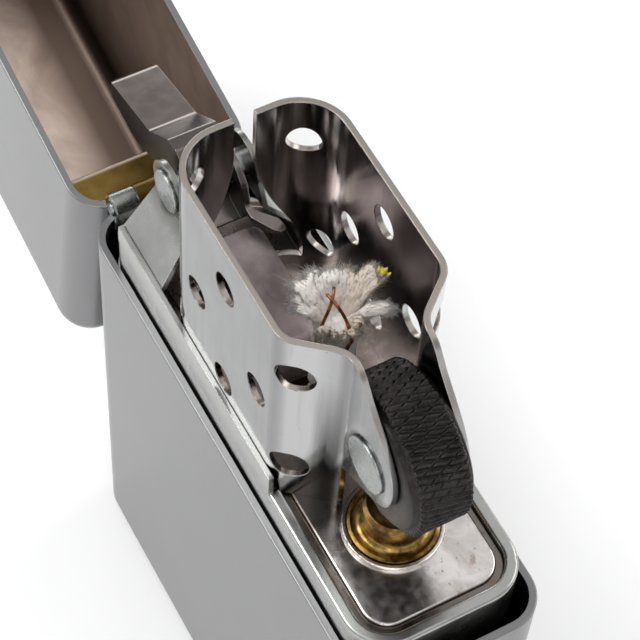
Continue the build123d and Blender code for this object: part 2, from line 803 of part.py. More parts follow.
felt_gap = 0.6
felt_foot_z = 0.9
felt_thickness = 2.2
with BuildPart() as felt_pad:
    with BuildSketch(Plane.XY.offset(felt_foot_z)):
        RectangleRounded(tank_width - 2 * felt_gap, tank_depth - 2 * felt_gap, tank_corner - felt_gap)
        with Locations((wheel_x, 0)):
            Circle(screw_head_radius + 0.2, mode=Mode.SUBTRACT)
    extrude(amount=felt_thickness)
finish(felt_pad, "felt_pad")

# a cotton cord that opens into a frayed head
head_foot_z = 47.0
head_top_z = 50.4
head_radius = 2.8
with BuildPart() as wick:
    with BuildSketch(Plane.XY.offset(head_foot_z)):
        with Locations((wick_x, 0)):
            Circle(head_radius)
    extrude(amount=head_top_z - head_foot_z)
    fillet(wick.edges(), 1.2)
    with BuildSketch(Plane.XY.offset(packing_foot_z + 1)):
        with Locations((wick_x, 0)):
            Circle(wick_radius)
    extrude(amount=head_foot_z - packing_foot_z)
finish(wick, "wick")

# three copper strands that run down the outside of the cord
wire_radius = 0.14
with BuildPart() as wick_wires:
    with BuildSketch(Plane.XY.offset(packing_foot_z + 2)):
        with Locations((wick_x, 0)):
            with PolarLocations(wick_radius + wire_radius + 0.02, 3, start_angle=-90):
                Circle(wire_radius)
    extrude(amount=head_foot_z - packing_foot_z - 2.1)
finish(wick_wires, "wick_wires")
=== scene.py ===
import math
import random

import bpy
from mathutils import Matrix, Vector, noise


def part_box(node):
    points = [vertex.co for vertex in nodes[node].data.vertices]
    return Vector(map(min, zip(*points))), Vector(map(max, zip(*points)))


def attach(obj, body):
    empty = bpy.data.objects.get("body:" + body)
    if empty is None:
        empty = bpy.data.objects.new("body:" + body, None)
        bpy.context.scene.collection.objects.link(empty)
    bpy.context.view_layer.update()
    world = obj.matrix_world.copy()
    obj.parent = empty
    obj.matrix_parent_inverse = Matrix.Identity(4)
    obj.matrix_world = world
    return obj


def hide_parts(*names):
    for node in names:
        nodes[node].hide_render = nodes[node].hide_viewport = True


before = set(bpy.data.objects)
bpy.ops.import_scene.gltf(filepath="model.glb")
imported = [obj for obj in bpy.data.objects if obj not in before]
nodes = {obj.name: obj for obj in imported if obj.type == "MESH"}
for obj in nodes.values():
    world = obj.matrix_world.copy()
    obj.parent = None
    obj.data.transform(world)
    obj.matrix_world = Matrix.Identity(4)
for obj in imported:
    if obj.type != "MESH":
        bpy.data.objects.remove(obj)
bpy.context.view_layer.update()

MM = 0.001

# ------------------------------------------------------------------ places, from the frame
wheel_low, wheel_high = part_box("spark_wheel")
WHEEL = (wheel_low + wheel_high) / 2
WHEEL_RADIUS = (wheel_high.x - wheel_low.x) / 2
WHEEL_HALF = (wheel_high.y - wheel_low.y) / 2
chimney_low, chimney_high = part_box("chimney")
wick_low, wick_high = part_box("wick")
WICK = Vector(((wick_low.x + wick_high.x) / 2, 0, wick_high.z))
plate_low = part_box("top_plate")[0]
lid_low, lid_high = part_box("lid")
rivet_low, rivet_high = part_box("cam_rivet")
RIVET = (rivet_low + rivet_high) / 2
RIVET_HEAD = (rivet_high.x - rivet_low.x) / 2 / MM
axle_low, axle_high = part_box("wheel_axle")
AXLE_HEAD = (axle_high.x - axle_low.x) / 2 / MM
CHIMNEY_TOP = chimney_high.z / MM
PLATE_TOP = chimney_low.z / MM
LEAF_LIP_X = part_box("hinge_plate_lid")[0].x / MM
LID_CENTRE = (lid_low + lid_high) / 2


# ------------------------------------------------------------------ node graph helper
class Graph:
    """A material's node graph, with short names for the nodes that the finishes share."""

    def __init__(self, name):
        self.material = bpy.data.materials.new(name)
        self.material.use_nodes = True
        self.tree = self.material.node_tree
        self.shader = self.tree.nodes["Principled BSDF"]
        self.place = self.add("ShaderNodeTexCoord").outputs["Object"]
        self.facing = self.add("ShaderNodeTexCoord").outputs["Normal"]

    def add(self, kind, **settings):
        """A new node of this kind, with its settings."""
        node = self.tree.nodes.new(kind)
        for key, value in settings.items():
            setattr(node, key, value)
        return node

    def join(self, value, socket):
        """Links value to the socket if it is an output, else sets it there."""
        if hasattr(value, "links"):
            self.tree.links.new(value, socket)
        else:
            socket.default_value = value

    def set(self, **values):
        """Values or outputs for the shader's own sockets, named with _ for spaces."""
        for key, value in values.items():
            self.join(value, self.shader.inputs[key.replace("_", " ")])

    def math(self, operation, a, b=0.0):
        """a and b put through one operation."""
        node = self.add("ShaderNodeMath", operation=operation)
        self.join(a, node.inputs[0])
        self.join(b, node.inputs[1])
        return node.outputs[0]

    def stretched(self, scale, turn=(0, 0, 0)):
        """Object coordinates in millimetres, turned and then scaled along each axis."""
        node = self.add("ShaderNodeMapping", vector_type="TEXTURE")
        self.join(self.place, node.inputs["Vector"])
        node.inputs["Rotation"].default_value = [math.radians(a) for a in turn]
        node.inputs["Scale"].default_value = [MM * s for s in scale]
        return node.outputs[0]

    def noise(self, size, detail=4.0, turn=(0, 0, 0), distortion=0.0):
        """Noise whose blobs measure size (x, y, z) in millimetres."""
        node = self.add("ShaderNodeTexNoise")
        node.inputs["Scale"].default_value = 1.0
        node.inputs["Detail"].default_value = detail
        node.inputs["Roughness"].default_value = 0.55
        node.inputs["Distortion"].default_value = distortion
        self.join(self.stretched(size, turn), node.inputs["Vector"])
        return node.outputs["Fac"]

    def band(self, value, low, high, low_to=0.0, high_to=1.0):
        """value mapped from low..high to low_to..high_to, clamped."""
        node = self.add("ShaderNodeMapRange")
        self.join(value, node.inputs["Value"])
        node.inputs["From Min"].default_value = low
        node.inputs["From Max"].default_value = high
        node.inputs["To Min"].default_value = low_to
        node.inputs["To Max"].default_value = high_to
        return node.outputs[0]

    def spread(self, noise, low_to=0.0, high_to=1.0):
        """Noise, which hardly leaves 0.3 to 0.7, stretched to low_to..high_to."""
        return self.band(noise, 0.3, 0.7, low_to, high_to)

    def pits(self, low, high):
        """Small round spots, 1 in a spot and 0 elsewhere, where the noise passes low..high."""
        return self.band(self.noise((0.3, 0.3, 0.3), detail=2), low, high)

    def mix(self, share, a, b):
        """Colour a turning into colour b as share goes from 0 to 1."""
        node = self.add("ShaderNodeMix", data_type="RGBA")
        for value, socket in ((share, node.inputs[0]), (a, node.inputs[6]), (b, node.inputs[7])):
            if isinstance(value, tuple):
                value = (*value, 1.0)
            self.join(value, socket)
        return node.outputs[2]

    def bump(self, height, strength, distance, rounding=0.06):
        """Relief of the given height; sharp edges are rounded off by rounding millimetres."""
        edge = self.add("ShaderNodeBevel", samples=4)
        edge.inputs["Radius"].default_value = rounding * MM
        node = self.add("ShaderNodeBump")
        self.join(edge.outputs[0], node.inputs["Normal"])
        node.inputs["Strength"].default_value = strength
        node.inputs["Distance"].default_value = distance * MM
        self.join(height, node.inputs["Height"])
        self.join(node.outputs[0], self.shader.inputs["Normal"])

    def along(self, axis):
        """Position along one axis, in millimetres."""
        split = self.add("ShaderNodeSeparateXYZ")
        self.join(self.place, split.inputs[0])
        return self.math("DIVIDE", split.outputs[axis], MM)

    def facing_along(self, axis):
        """How squarely the surface faces along one axis, from 0 to 1, either way round."""
        split = self.add("ShaderNodeSeparateXYZ")
        self.join(self.facing, split.inputs[0])
        return self.math("ABSOLUTE", split.outputs[axis])

    def ring(self, x, z, inner, outer):
        """1 between two radii, in millimetres, round an axis along Y at x, z, and 0 elsewhere."""
        across = self.math("SUBTRACT", self.along("X"), x)
        up = self.math("SUBTRACT", self.along("Z"), z)
        squares = [self.math("MULTIPLY", way, way) for way in (across, up)]
        away = self.math("SQRT", self.math("ADD", *squares))
        begin = self.band(away, inner - 0.08, inner)
        return self.math("MULTIPLY", begin, self.band(away, outer + 0.25, outer))

    def scratches(self, length, width, amount, turn):
        """Thin marks, 1 on a mark and 0 elsewhere, length by width millimetres."""
        lines = self.noise((length, width, width), detail=1.0, turn=turn)
        return self.band(lines, 0.5 + 0.3 * (1 - amount), 0.62 + 0.3 * (1 - amount))

    def inward(self, centre, squash=(1, 1, 0)):
        """1 on faces that look towards centre (the inside of a shell), 0 on the outside."""
        away = self.add("ShaderNodeVectorMath", operation="SUBTRACT")
        self.join(self.place, away.inputs[0])
        away.inputs[1].default_value = centre
        flat = self.add("ShaderNodeVectorMath", operation="MULTIPLY")
        self.join(away.outputs[0], flat.inputs[0])
        flat.inputs[1].default_value = [s / MM for s in squash]
        dot = self.add("ShaderNodeVectorMath", operation="DOT_PRODUCT")
        self.join(flat.outputs[0], dot.inputs[0])
        self.join(self.facing, dot.inputs[1])
        return self.band(dot.outputs["Value"], -0.3, -0.9)


def dress(material, *names):
    """Gives the named CAD objects one material."""
    for name in names:
        nodes[name].data.materials.clear()
        nodes[name].data.materials.append(material)


# ------------------------------------------------------------------ finishes
# Places along X and Z are in millimetres, and every colour is linear.
# A pair says where a change along an axis begins and where it is complete.
SHELL_RELIEF = 0.35
LID_SHADE_DEPTH = (32.0, 22.0)
DARK_REFLECTION_START, DARK_REFLECTION_END = (6.4, 7.0), (8.1, 7.6)
PAST_SLIT = (-8.5, -9.2)
NEAR_WICK = (-5.7, -4.2)
HIGHLIGHT_STREAK_START, HIGHLIGHT_STREAK_END = (-7.1, -6.5), (-5.7, -6.1)
TANK_SHOULDER = (37.9, 38.6)
PLATE_BROWNED = (13.0, 6.5)
PLATE_PAST_WICK, PLATE_BEFORE_COLLAR = (1.0, 3.0), (9.4, 8.4)


def satin_chrome(g, marks):
    """Tone, roughness and relief of the shells' outside: cloudy, brushed and scratched by marks."""
    cloud = g.noise((6, 6, 9), detail=5)
    grain = g.noise((0.35, 0.35, 6.0), detail=3)
    tone = g.mix(g.band(cloud, 0.35, 0.7), (0.214, 0.214, 0.220), (0.236, 0.236, 0.240))
    tone = g.mix(g.math("MULTIPLY", marks, 0.7), tone, (0.46, 0.46, 0.465))
    rough = g.spread(cloud, 0.28, 0.32)
    height = g.math("ADD", g.math("MULTIPLY", grain, 0.5), g.math("MULTIPLY", marks, -0.6))
    return tone, rough, height


def case_chrome():
    """Satin chrome, cloudy and finely scratched."""
    g = Graph("case_chrome")
    long_marks = g.scratches(9.0, 0.09, 0.30, (0, 25, 12))
    short_marks = g.scratches(3.0, 0.06, 0.25, (15, -50, -20))
    marks = g.math("MAXIMUM", long_marks, short_marks)
    tone, rough, height = satin_chrome(g, marks)
    g.set(Base_Color=tone, Metallic=1.0)
    g.set(Roughness=g.math("ADD", rough, g.math("MULTIPLY", marks, 0.12)))
    g.bump(height, SHELL_RELIEF, 0.02)
    return g.material


def lid_chrome():
    """As the case outside; inside, bare steel stained brown and beige by soot and petrol, with
    painted shade on the far wall towards the closed end.
    """
    g = Graph("lid_chrome")
    tone, rough, height = satin_chrome(g, g.scratches(9.0, 0.09, 0.30, (0, 25, 12)))
    stain = g.noise((5, 4, 5), detail=4, distortion=0.6)
    inner = g.mix(g.band(stain, 0.32, 0.68), (0.36, 0.295, 0.255), (0.61, 0.53, 0.48))
    # painted shade: the far wall darkens towards the closed end
    shade_by_depth = g.band(g.along("Z"), *LID_SHADE_DEPTH)
    painted_far_wall_shade = g.math("MULTIPLY", shade_by_depth, g.band(g.along("Y"), 0.0, 3.0))
    inner = g.mix(painted_far_wall_shade, inner, (0.12, 0.092, 0.076))
    inside = g.inward(LID_CENTRE, (0.3, 1, 0.6))
    g.set(Base_Color=g.mix(inside, tone, inner), Metallic=1.0)
    g.set(Roughness=g.math("ADD", rough, g.math("MULTIPLY", inside, 0.08)))
    g.bump(height, SHELL_RELIEF, 0.02)
    return g.material


def chimney_steel():
    """Bright outside with painted highlights, painted reflections and a painted shadow ring;
    browned and dark inside with a painted highlight streak; tan cut edges.
    """
    g = Graph("chimney_steel")
    grain = g.noise((0.4, 0.4, 9.0), detail=3)
    streaks_and_reflections = g.noise((0.9, 0.9, 14.0), detail=4)
    cloud = g.noise((3, 3, 4), detail=5)
    pits = g.pits(0.70, 0.78)
    x = g.along("X")
    # outside: flat walls, rounded flanks, a painted dark reflection in the bend before the ears and
    # a painted shadow ring round the axle
    outer = g.mix(g.spread(cloud), (0.215, 0.215, 0.22), (0.27, 0.272, 0.276))
    # painted highlight: the rounded flanks, which face away from Y, are lighter
    outer = g.mix(g.band(g.facing_along("Y"), 0.98, 0.75), outer, (0.46, 0.46, 0.465))
    # painted reflection: dark upright streaks on the outside
    outer = g.mix(g.band(streaks_and_reflections, 0.56, 0.68, 0.0, 0.3), outer, (0.21, 0.21, 0.21))
    # painted dark reflection, fading upwards, in the bend before the ears
    painted_dark_reflection = g.math("MULTIPLY", g.band(x, *DARK_REFLECTION_START), g.band(x, *DARK_REFLECTION_END))
    low = g.band(g.along("Z"), CHIMNEY_TOP - 3, CHIMNEY_TOP - 10, 0.2, 0.85)
    outer = g.mix(g.math("MULTIPLY", painted_dark_reflection, low), outer, (0.035, 0.034, 0.032))
    # painted shadow: a dark ring round the axle head
    ring = g.ring(WHEEL.x / MM, WHEEL.z / MM, AXLE_HEAD, AXLE_HEAD + 0.1)
    outer = g.mix(g.math("MULTIPLY", ring, 0.7), outer, (0.06, 0.058, 0.055))
    outer = g.mix(g.math("MULTIPLY", pits, 0.5), outer, (0.10, 0.09, 0.08))
    # inside: sooty, paler past the slit, darker towards the wick, with one painted highlight streak
    soot = g.mix(g.band(cloud, 0.35, 0.65), (0.15, 0.128, 0.120), (0.30, 0.27, 0.26))
    soot = g.mix(g.band(streaks_and_reflections, 0.52, 0.66, 0.0, 0.5), soot, (0.11, 0.098, 0.094))
    soot = g.mix(g.band(x, *PAST_SLIT, 0.0, 0.8), soot, (0.62, 0.58, 0.56))
    soot = g.mix(g.band(x, *NEAR_WICK, 0.0, 0.6), soot, (0.05, 0.044, 0.041))
    # painted highlight: one bright upright streak inside
    painted_highlight_streak = g.math("MULTIPLY", g.band(x, *HIGHLIGHT_STREAK_START), g.band(x, *HIGHLIGHT_STREAK_END))
    soot = g.mix(g.math("MULTIPLY", painted_highlight_streak, 0.95), soot, (0.86, 0.86, 0.88))
    edge = g.band(g.facing_along("Z"), 0.5, 0.85)
    inside = g.inward(((chimney_low.x + chimney_high.x) / 2 - 1.5 * MM, 0, 0))
    tone = g.mix(edge, g.mix(inside, outer, soot), (0.40, 0.36, 0.33))
    g.set(Base_Color=tone, Metallic=1.0)
    rough = g.spread(grain, 0.10, 0.20)
    g.set(Roughness=g.math("ADD", rough, g.math("MULTIPLY", edge, 0.08)))
    g.bump(grain, 0.12, 0.010, rounding=0.12)
    return g.material


def tank_steel():
    """Bright steel, slightly green-grey, with soft stains; painted shade inside the cam ears and a
    painted shadow ring round the rivet head.
    """
    g = Graph("tank_steel")
    cloud = g.noise((3, 3, 3), detail=6)
    grain = g.noise((5.0, 0.3, 0.3), detail=3)
    pits = g.pits(0.72, 0.8)
    tone = g.mix(g.spread(cloud), (0.35, 0.352, 0.335), (0.46, 0.465, 0.45))
    tone = g.mix(g.math("MULTIPLY", pits, 0.5), tone, (0.12, 0.11, 0.10))
    ear = g.band(g.along("Z"), RIVET.z / MM - 2.2, RIVET.z / MM - 1.6, 0.0, 0.65)
    tone = g.mix(ear, tone, (0.17, 0.17, 0.155))
    # painted shadow: a dark ring round the rivet head
    ring = g.ring(RIVET.x / MM, RIVET.z / MM, RIVET_HEAD, RIVET_HEAD + 0.15)
    tone = g.mix(g.math("MULTIPLY", ring, 0.8), tone, (0.04, 0.038, 0.035))
    # painted shade on the inner faces of the cam ears, above the shoulder
    above_shoulder = g.band(g.along("Z"), *TANK_SHOULDER)
    inside = g.math("MULTIPLY", g.inward((RIVET.x, 0, 0), (0, 1, 0)), above_shoulder)
    tone = g.mix(inside, tone, (0.055, 0.047, 0.043))
    g.set(Base_Color=tone, Metallic=1.0)
    g.set(Roughness=g.spread(cloud, 0.2, 0.3))
    g.bump(grain, 0.08, 0.010, rounding=0.1)
    return g.material


def plate_steel():
    """Polished steel, browned under the chimney, darker in its groove, with painted shade between
    the wick and the collar, rust and dark pits.
    """
    g = Graph("plate_steel")
    stain = g.noise((2.5, 2.5, 2.5), detail=6, distortion=0.8)
    fine = g.noise((0.6, 0.6, 0.6), detail=4)
    rust = g.band(g.noise((0.9, 0.9, 0.9), detail=5), 0.62, 0.72)
    pits = g.pits(0.68, 0.76)
    tone = g.mix(g.band(stain, 0.35, 0.62), (0.46, 0.42, 0.395), (0.76, 0.72, 0.70))
    browned = g.band(g.along("X"), *PLATE_BROWNED, 0.0, 0.8)
    tone = g.mix(browned, tone, (0.17, 0.135, 0.12))
    # painted shade on the plate between the wick and the collar
    past_wick = g.band(g.along("X"), *PLATE_PAST_WICK)
    before_collar = g.band(g.along("X"), *PLATE_BEFORE_COLLAR, 0.0, 0.8)
    tone = g.mix(g.math("MULTIPLY", past_wick, before_collar), tone, (0.06, 0.05, 0.043))
    # darker in the groove
    groove_darkening = g.band(g.along("Z"), PLATE_TOP - 0.01, PLATE_TOP - 0.08, 0.0, 0.85)
    tone = g.mix(groove_darkening, tone, (0.10, 0.08, 0.065))
    tone = g.mix(g.math("MULTIPLY", rust, 0.55), tone, (0.20, 0.10, 0.055))
    tone = g.mix(g.math("MULTIPLY", pits, 0.6), tone, (0.08, 0.06, 0.05))
    g.set(Base_Color=tone, Metallic=1.0)
    rough = g.spread(fine, 0.14, 0.26)
    g.set(Roughness=g.math("ADD", rough, g.math("MULTIPLY", browned, 0.12)))
    height = g.math("SUBTRACT", g.math("ADD", fine, g.math("MULTIPLY", stain, 1.5)), pits)
    g.bump(height, 0.15, 0.03, rounding=0.08)
    return g.material


def cam_steel():
    """Brushed steel across the web; the cheeks, which face along Y, carry painted shade in dark
    brown and are duller.
    """
    g = Graph("cam_steel")
    grain = g.noise((0.15, 2.4, 0.15), detail=3)
    cloud = g.noise((1.6, 1.6, 1.6), detail=5)
    cheek = g.band(g.facing_along("Y"), 0.55, 0.85)
    tone = g.mix(g.spread(cloud), (0.185, 0.16, 0.148), (0.235, 0.206, 0.193))
    # painted shade: the cheeks, facing along Y, are dark brown
    tone = g.mix(cheek, tone, (0.028, 0.023, 0.020))
    web = g.math("SUBTRACT", 1.0, cheek)
    g.set(Base_Color=tone, Metallic=1.0)
    rough = g.spread(cloud, 0.19, 0.25)
    g.set(Roughness=g.math("ADD", rough, g.math("MULTIPLY", cheek, 0.25)))
    g.bump(g.math("MULTIPLY", grain, web), 0.07, 0.008, rounding=0.13)
    return g.material


def bright_steel():
    """Rivet heads, hinge barrel and pin: bright metal with a dimpled, worn skin."""
    g = Graph("bright_steel")
    dimple = g.noise((0.4, 0.4, 0.4), detail=4)
    patch = g.noise((1.2, 1.2, 1.2), detail=3)
    tone = g.mix(g.band(dimple, 0.35, 0.7), (0.28, 0.30, 0.29), (0.37, 0.385, 0.375))
    tone = g.mix(g.band(patch, 0.58, 0.72, 0.0, 0.3), tone, (0.20, 0.19, 0.175))
    g.set(Base_Color=tone, Metallic=1.0, Roughness=g.spread(dimple, 0.2, 0.3))
    g.bump(dimple, 0.14, 0.02, rounding=0.13)
    return g.material


def spring_steel():
    """Purple-brown satin of a tempered leaf."""
    g = Graph("spring_steel")
    grain = g.noise((2.0, 0.2, 0.2), detail=3)
    cloud = g.noise((1.5, 1.5, 1.5), detail=5)
    tone = g.mix(g.spread(cloud), (0.20, 0.165, 0.165), (0.33, 0.285, 0.28))
    g.set(Base_Color=tone, Metallic=1.0, Roughness=g.spread(grain, 0.26, 0.4))
    g.bump(grain, 0.2, 0.02)
    return g.material


def wheel_steel():
    """Dark hardened steel: brownish bloom on the teeth, with rubbed grey specks."""
    g = Graph("wheel_steel")
    bloom = g.noise((0.9, 0.9, 0.9), detail=5)
    grit = g.noise((0.08, 0.08, 0.08), detail=3)
    tone = g.mix(g.band(bloom, 0.35, 0.65), (0.017, 0.0152, 0.0158), (0.036, 0.031, 0.0295))
    tone = g.mix(g.band(grit, 0.55, 0.75), tone, (0.075, 0.066, 0.062))
    g.set(Base_Color=tone, Metallic=0.8, Specular_IOR_Level=0.25)
    g.set(Roughness=g.spread(grit, 0.34, 0.5))
    g.bump(grit, 0.4, 0.02)
    return g.material


def old_brass():
    """Golden brass, browned in patches, with fine turning rings."""
    g = Graph("old_brass")
    cloud = g.noise((0.9, 0.9, 0.9), detail=6)
    fine = g.noise((2.0, 2.0, 0.06), detail=2)
    tone = g.mix(g.band(cloud, 0.38, 0.6), (0.12, 0.065, 0.02), (0.36, 0.24, 0.075))
    g.set(Base_Color=tone, Metallic=1.0, Roughness=g.spread(cloud, 0.2, 0.3))
    g.bump(g.math("ADD", fine, cloud), 0.35, 0.02)
    return g.material


def dull_brass():
    """Dulled golden-brown brass of the lid's leaf, with a painted highlight along its lip."""
    g = Graph("dull_brass")
    cloud = g.noise((2.0, 2.0, 1.2), detail=5)
    lip_highlight = g.band(g.along("X"), LEAF_LIP_X + 0.5, LEAF_LIP_X + 0.3)
    tone = g.mix(g.band(cloud, 0.35, 0.65), (0.13, 0.08, 0.02), (0.22, 0.14, 0.04))
    # painted highlight: a pale line along the lip
    tone = g.mix(lip_highlight, tone, (0.55, 0.46, 0.36))
    g.set(Base_Color=tone, Metallic=1.0, Roughness=g.spread(cloud, 0.3, 0.42))
    g.bump(cloud, 0.15, 0.03)
    return g.material


def flint_grey():
    """Dark grey pressed alloy."""
    g = Graph("flint_grey")
    grit = g.noise((0.15, 0.15, 0.15), detail=4)
    tone = g.mix(grit, (0.08, 0.075, 0.07), (0.2, 0.19, 0.18))
    g.set(Base_Color=tone, Metallic=0.6, Roughness=g.spread(grit, 0.45, 0.7))
    g.bump(grit, 0.4, 0.03)
    return g.material


def soft_fibre(name, low, high, size):
    """Loose textile: colour varies from fibre to fibre, matt with a little sheen."""
    g = Graph(name)
    strand = g.noise(size, detail=3)
    patch = g.noise([s * 8 for s in size], detail=3)
    tone = g.mix(g.band(g.math("ADD", strand, patch), 0.7, 1.3), low, high)
    g.set(Base_Color=tone, Roughness=0.9, Sheen_Weight=0.2)
    g.bump(strand, 0.25, 0.03)
    return g.material


def old_copper():
    """Copper, browned in patches."""
    g = Graph("old_copper")
    patch = g.noise((0.8, 0.8, 0.8), detail=4)
    tone = g.mix(g.band(patch, 0.4, 0.6), (0.12, 0.035, 0.015), (0.52, 0.20, 0.085))
    g.set(Base_Color=tone, Metallic=0.9, Roughness=g.spread(patch, 0.32, 0.5))
    g.bump(patch, 0.3, 0.02)
    return g.material


CASE = case_chrome()
LID = lid_chrome()
CHIMNEY = chimney_steel()
TANK = tank_steel()
PLATE = plate_steel()
CAM = cam_steel()
BRIGHT = bright_steel()
SPRING = spring_steel()
WHEEL_STEEL = wheel_steel()
BRASS = old_brass()
LEAF = dull_brass()
FLINT = flint_grey()
COTTON = soft_fibre("cotton_white", (0.75, 0.73, 0.68), (0.9, 0.89, 0.86), (0.3, 0.3, 0.8))
FELT = soft_fibre("felt_grey", (0.45, 0.43, 0.4), (0.7, 0.68, 0.65), (0.3, 0.3, 0.3))
FRAY = (0.25, 0.25, 0.5)
FIBRE = soft_fibre("wick_fibre_pale", (0.70, 0.655, 0.61), (0.80, 0.765, 0.73), FRAY)
FIBRE_DARK = soft_fibre("wick_fibre_beige", (0.50, 0.42, 0.345), (0.66, 0.59, 0.505), FRAY)
FLECK = soft_fibre("wick_yellow", (0.50, 0.42, 0.03), (0.72, 0.66, 0.10), (0.12, 0.12, 0.3))
COPPER = old_copper()

dress(CASE, "case_bottom")
dress(LID, "lid")
dress(CHIMNEY, "chimney")
dress(TANK, "insert_tank")
dress(PLATE, "top_plate")
dress(CAM, "cam_lever")
dress(BRIGHT, "hinge_plate_case", "hinge_pin", "cam_rivet", "wheel_axle", "cam_spring_rivet")
dress(SPRING, "cam_spring", "flint_spring")
dress(LEAF, "hinge_plate_lid")
dress(BRASS, "flint_tube", "flint_plunger", "flint_screw")
dress(FLINT, "flint")
dress(COTTON, *[f"cotton_ball_{i}" for i in range(1, 6)])
dress(FELT, "felt_pad")


# ------------------------------------------------------------------ mesh helpers
def new_piece(name, points, faces, material, smooth=True):
    """A mesh object in the scene, with one material."""
    mesh = bpy.data.meshes.new(name)
    mesh.from_pydata([tuple(p) for p in points], [], faces)
    mesh.materials.append(material)
    mesh.validate()
    mesh.polygons.foreach_set("use_smooth", [smooth] * len(mesh.polygons))
    obj = bpy.data.objects.new(name, mesh)
    bpy.context.scene.collection.objects.link(obj)
    return obj


def ring_grid(rings, turns, close_ends=True):
    """Faces of a tube made of rings of points, each ring having turns points."""
    faces = []
    for r in range(rings - 1):
        for t in range(turns):
            u = (t + 1) % turns
            faces.append((r * turns + t, r * turns + u, (r + 1) * turns + u, (r + 1) * turns + t))
    if close_ends:
        faces.append(tuple(reversed(range(turns))))
        faces.append(tuple(range((rings - 1) * turns, rings * turns)))
    return faces


# ------------------------------------------------------------------ spark wheel
# The rim has two rows of grooves. A row's lean is how much of a groove's pitch it moves on for
# each millimetre across the rim, its share is the width of a groove as a part of the pitch, and
# depths are in millimetres.
RIDGES, RIDGE_LEAN, RIDGE_SHARE, RIDGE_DEPTH = 64, 0.62, 0.85, 0.20
CUTS, CUT_LEAN, CUT_SHARE, CUT_DEPTH = 40, -0.667, 0.20, 0.22
RIM_HALF = 1.62 * MM
CHEEK_RADIUS = 4.3 * MM
BORE_RADIUS = 0.97 * MM
RIM_POINTS = 960
RIM_ROWS = 66
RIM_WEAR = 0.10 * MM
WORN_SHARE = 0.07


def groove(phase, share):
    """Depth, 0 to 1, of a V groove that takes up share of each whole phase."""
    from_middle = abs(phase - math.floor(phase) - 0.5) * 2
    return max(0.0, 1 - from_middle / share)


def rim_depth(turn, y):
    """Depth in millimetres that the two cuts leave at a turn of the rim, y across it."""
    sway = 0.12 * noise.noise(Vector((turn * 40, y * 1.5, 3)))
    ridge = groove(RIDGES * turn + RIDGE_LEAN * y + sway, RIDGE_SHARE)
    cut = groove(CUTS * turn + CUT_LEAN * y, CUT_SHARE)
    rough = 0.02 * noise.noise(Vector((turn * 300, y * 9, 8)))
    return max(RIDGE_DEPTH * ridge, CUT_DEPTH * cut) + rough


def make_wheel():
    """Rim cut by two helical rows of grooves, between two smooth cheeks, in rings along Y."""
    cheek = [(-WHEEL_HALF, BORE_RADIUS), (-WHEEL_HALF, CHEEK_RADIUS - 0.15 * MM)]
    cheek += [(-WHEEL_HALF + 0.12 * MM, CHEEK_RADIUS), (-RIM_HALF, CHEEK_RADIUS + 0.02 * MM)]
    rows = [(-1 + 2 * i / (RIM_ROWS - 1)) * RIM_HALF for i in range(RIM_ROWS)]
    rings = [(y, radius, 0) for y, radius in cheek]
    rings += [(y, WHEEL_RADIUS, 1) for y in rows]
    rings += [(-y, radius, 0) for y, radius in reversed(cheek)]
    placed = []
    for y, radius, is_cut in rings:
        worn = RIM_WEAR * max(0.0, abs(y) / RIM_HALF - (1 - WORN_SHARE)) / WORN_SHARE
        for t in range(RIM_POINTS):
            a = 2 * math.pi * t / RIM_POINTS
            r = radius - is_cut * (worn + MM * max(0.0, rim_depth(t / RIM_POINTS, y / MM)))
            placed.append(WHEEL + Vector((r * math.cos(a), y, r * math.sin(a))))
    faces = ring_grid(len(rings), RIM_POINTS, close_ends=False)
    last = (len(rings) - 1) * RIM_POINTS
    for t in range(RIM_POINTS):
        u = (t + 1) % RIM_POINTS
        faces.append((last + t, last + u, u, t))
    wheel = new_piece("spark_wheel_cross_cut", placed, faces, WHEEL_STEEL)
    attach(wheel, "wheel")
    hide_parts("spark_wheel")


make_wheel()


# ------------------------------------------------------------------ wick, fibres and wires
def tube_points(path, radii, turns):
    """Rings of points round a path, for a thin tube."""
    points = []
    side = Vector((1, 0, 0))
    for i, p in enumerate(path):
        ahead = (path[min(i + 1, len(path) - 1)] - path[max(i - 1, 0)]).normalized()
        side = (side - ahead * side.dot(ahead)).normalized()
        other = ahead.cross(side)
        for t in range(turns):
            a = 2 * math.pi * t / turns
            points.append(p + (side * math.cos(a) + other * math.sin(a)) * radii[i])
    return points


def curve(points, steps):
    """Points along a Bezier curve of any order."""
    path = []
    for i in range(steps):
        t = i / (steps - 1)
        row = list(points)
        while len(row) > 1:
            row = [p.lerp(q, t) for p, q in zip(row, row[1:])]
        path.append(row[0])
    return path


def join_tubes(name, tubes, material, sides):
    """One piece made of many closed tubes, each a list of points and a list of radii."""
    points, faces = [], []
    for path, radii in tubes:
        base = len(points)
        points += tube_points(path, radii, sides)
        faces += [tuple(base + k for k in f) for f in ring_grid(len(path), sides)]
    return new_piece(name, points, faces, material)


CORD_RINGS = 24
CORD_PITCH = 9 * MM
STRAND_AWAY = 0.8 * MM
STRAND_RADIUS = 0.58 * MM
OUTER_STRANDS = 6


def cord_tubes(low, top):
    """A strand with six more twisted round it."""
    tubes = []
    for s in range(OUTER_STRANDS + 1):
        away = STRAND_AWAY if s else 0.0
        path = []
        for i in range(CORD_RINGS):
            h = low + (top - low) * i / (CORD_RINGS - 1)
            a = 2 * math.pi * (s / OUTER_STRANDS + (h - low) / CORD_PITCH)
            path.append(Vector((WICK.x + away * math.cos(a), away * math.sin(a), h)))
        tubes.append((path, [STRAND_RADIUS] * CORD_RINGS))
    return tubes


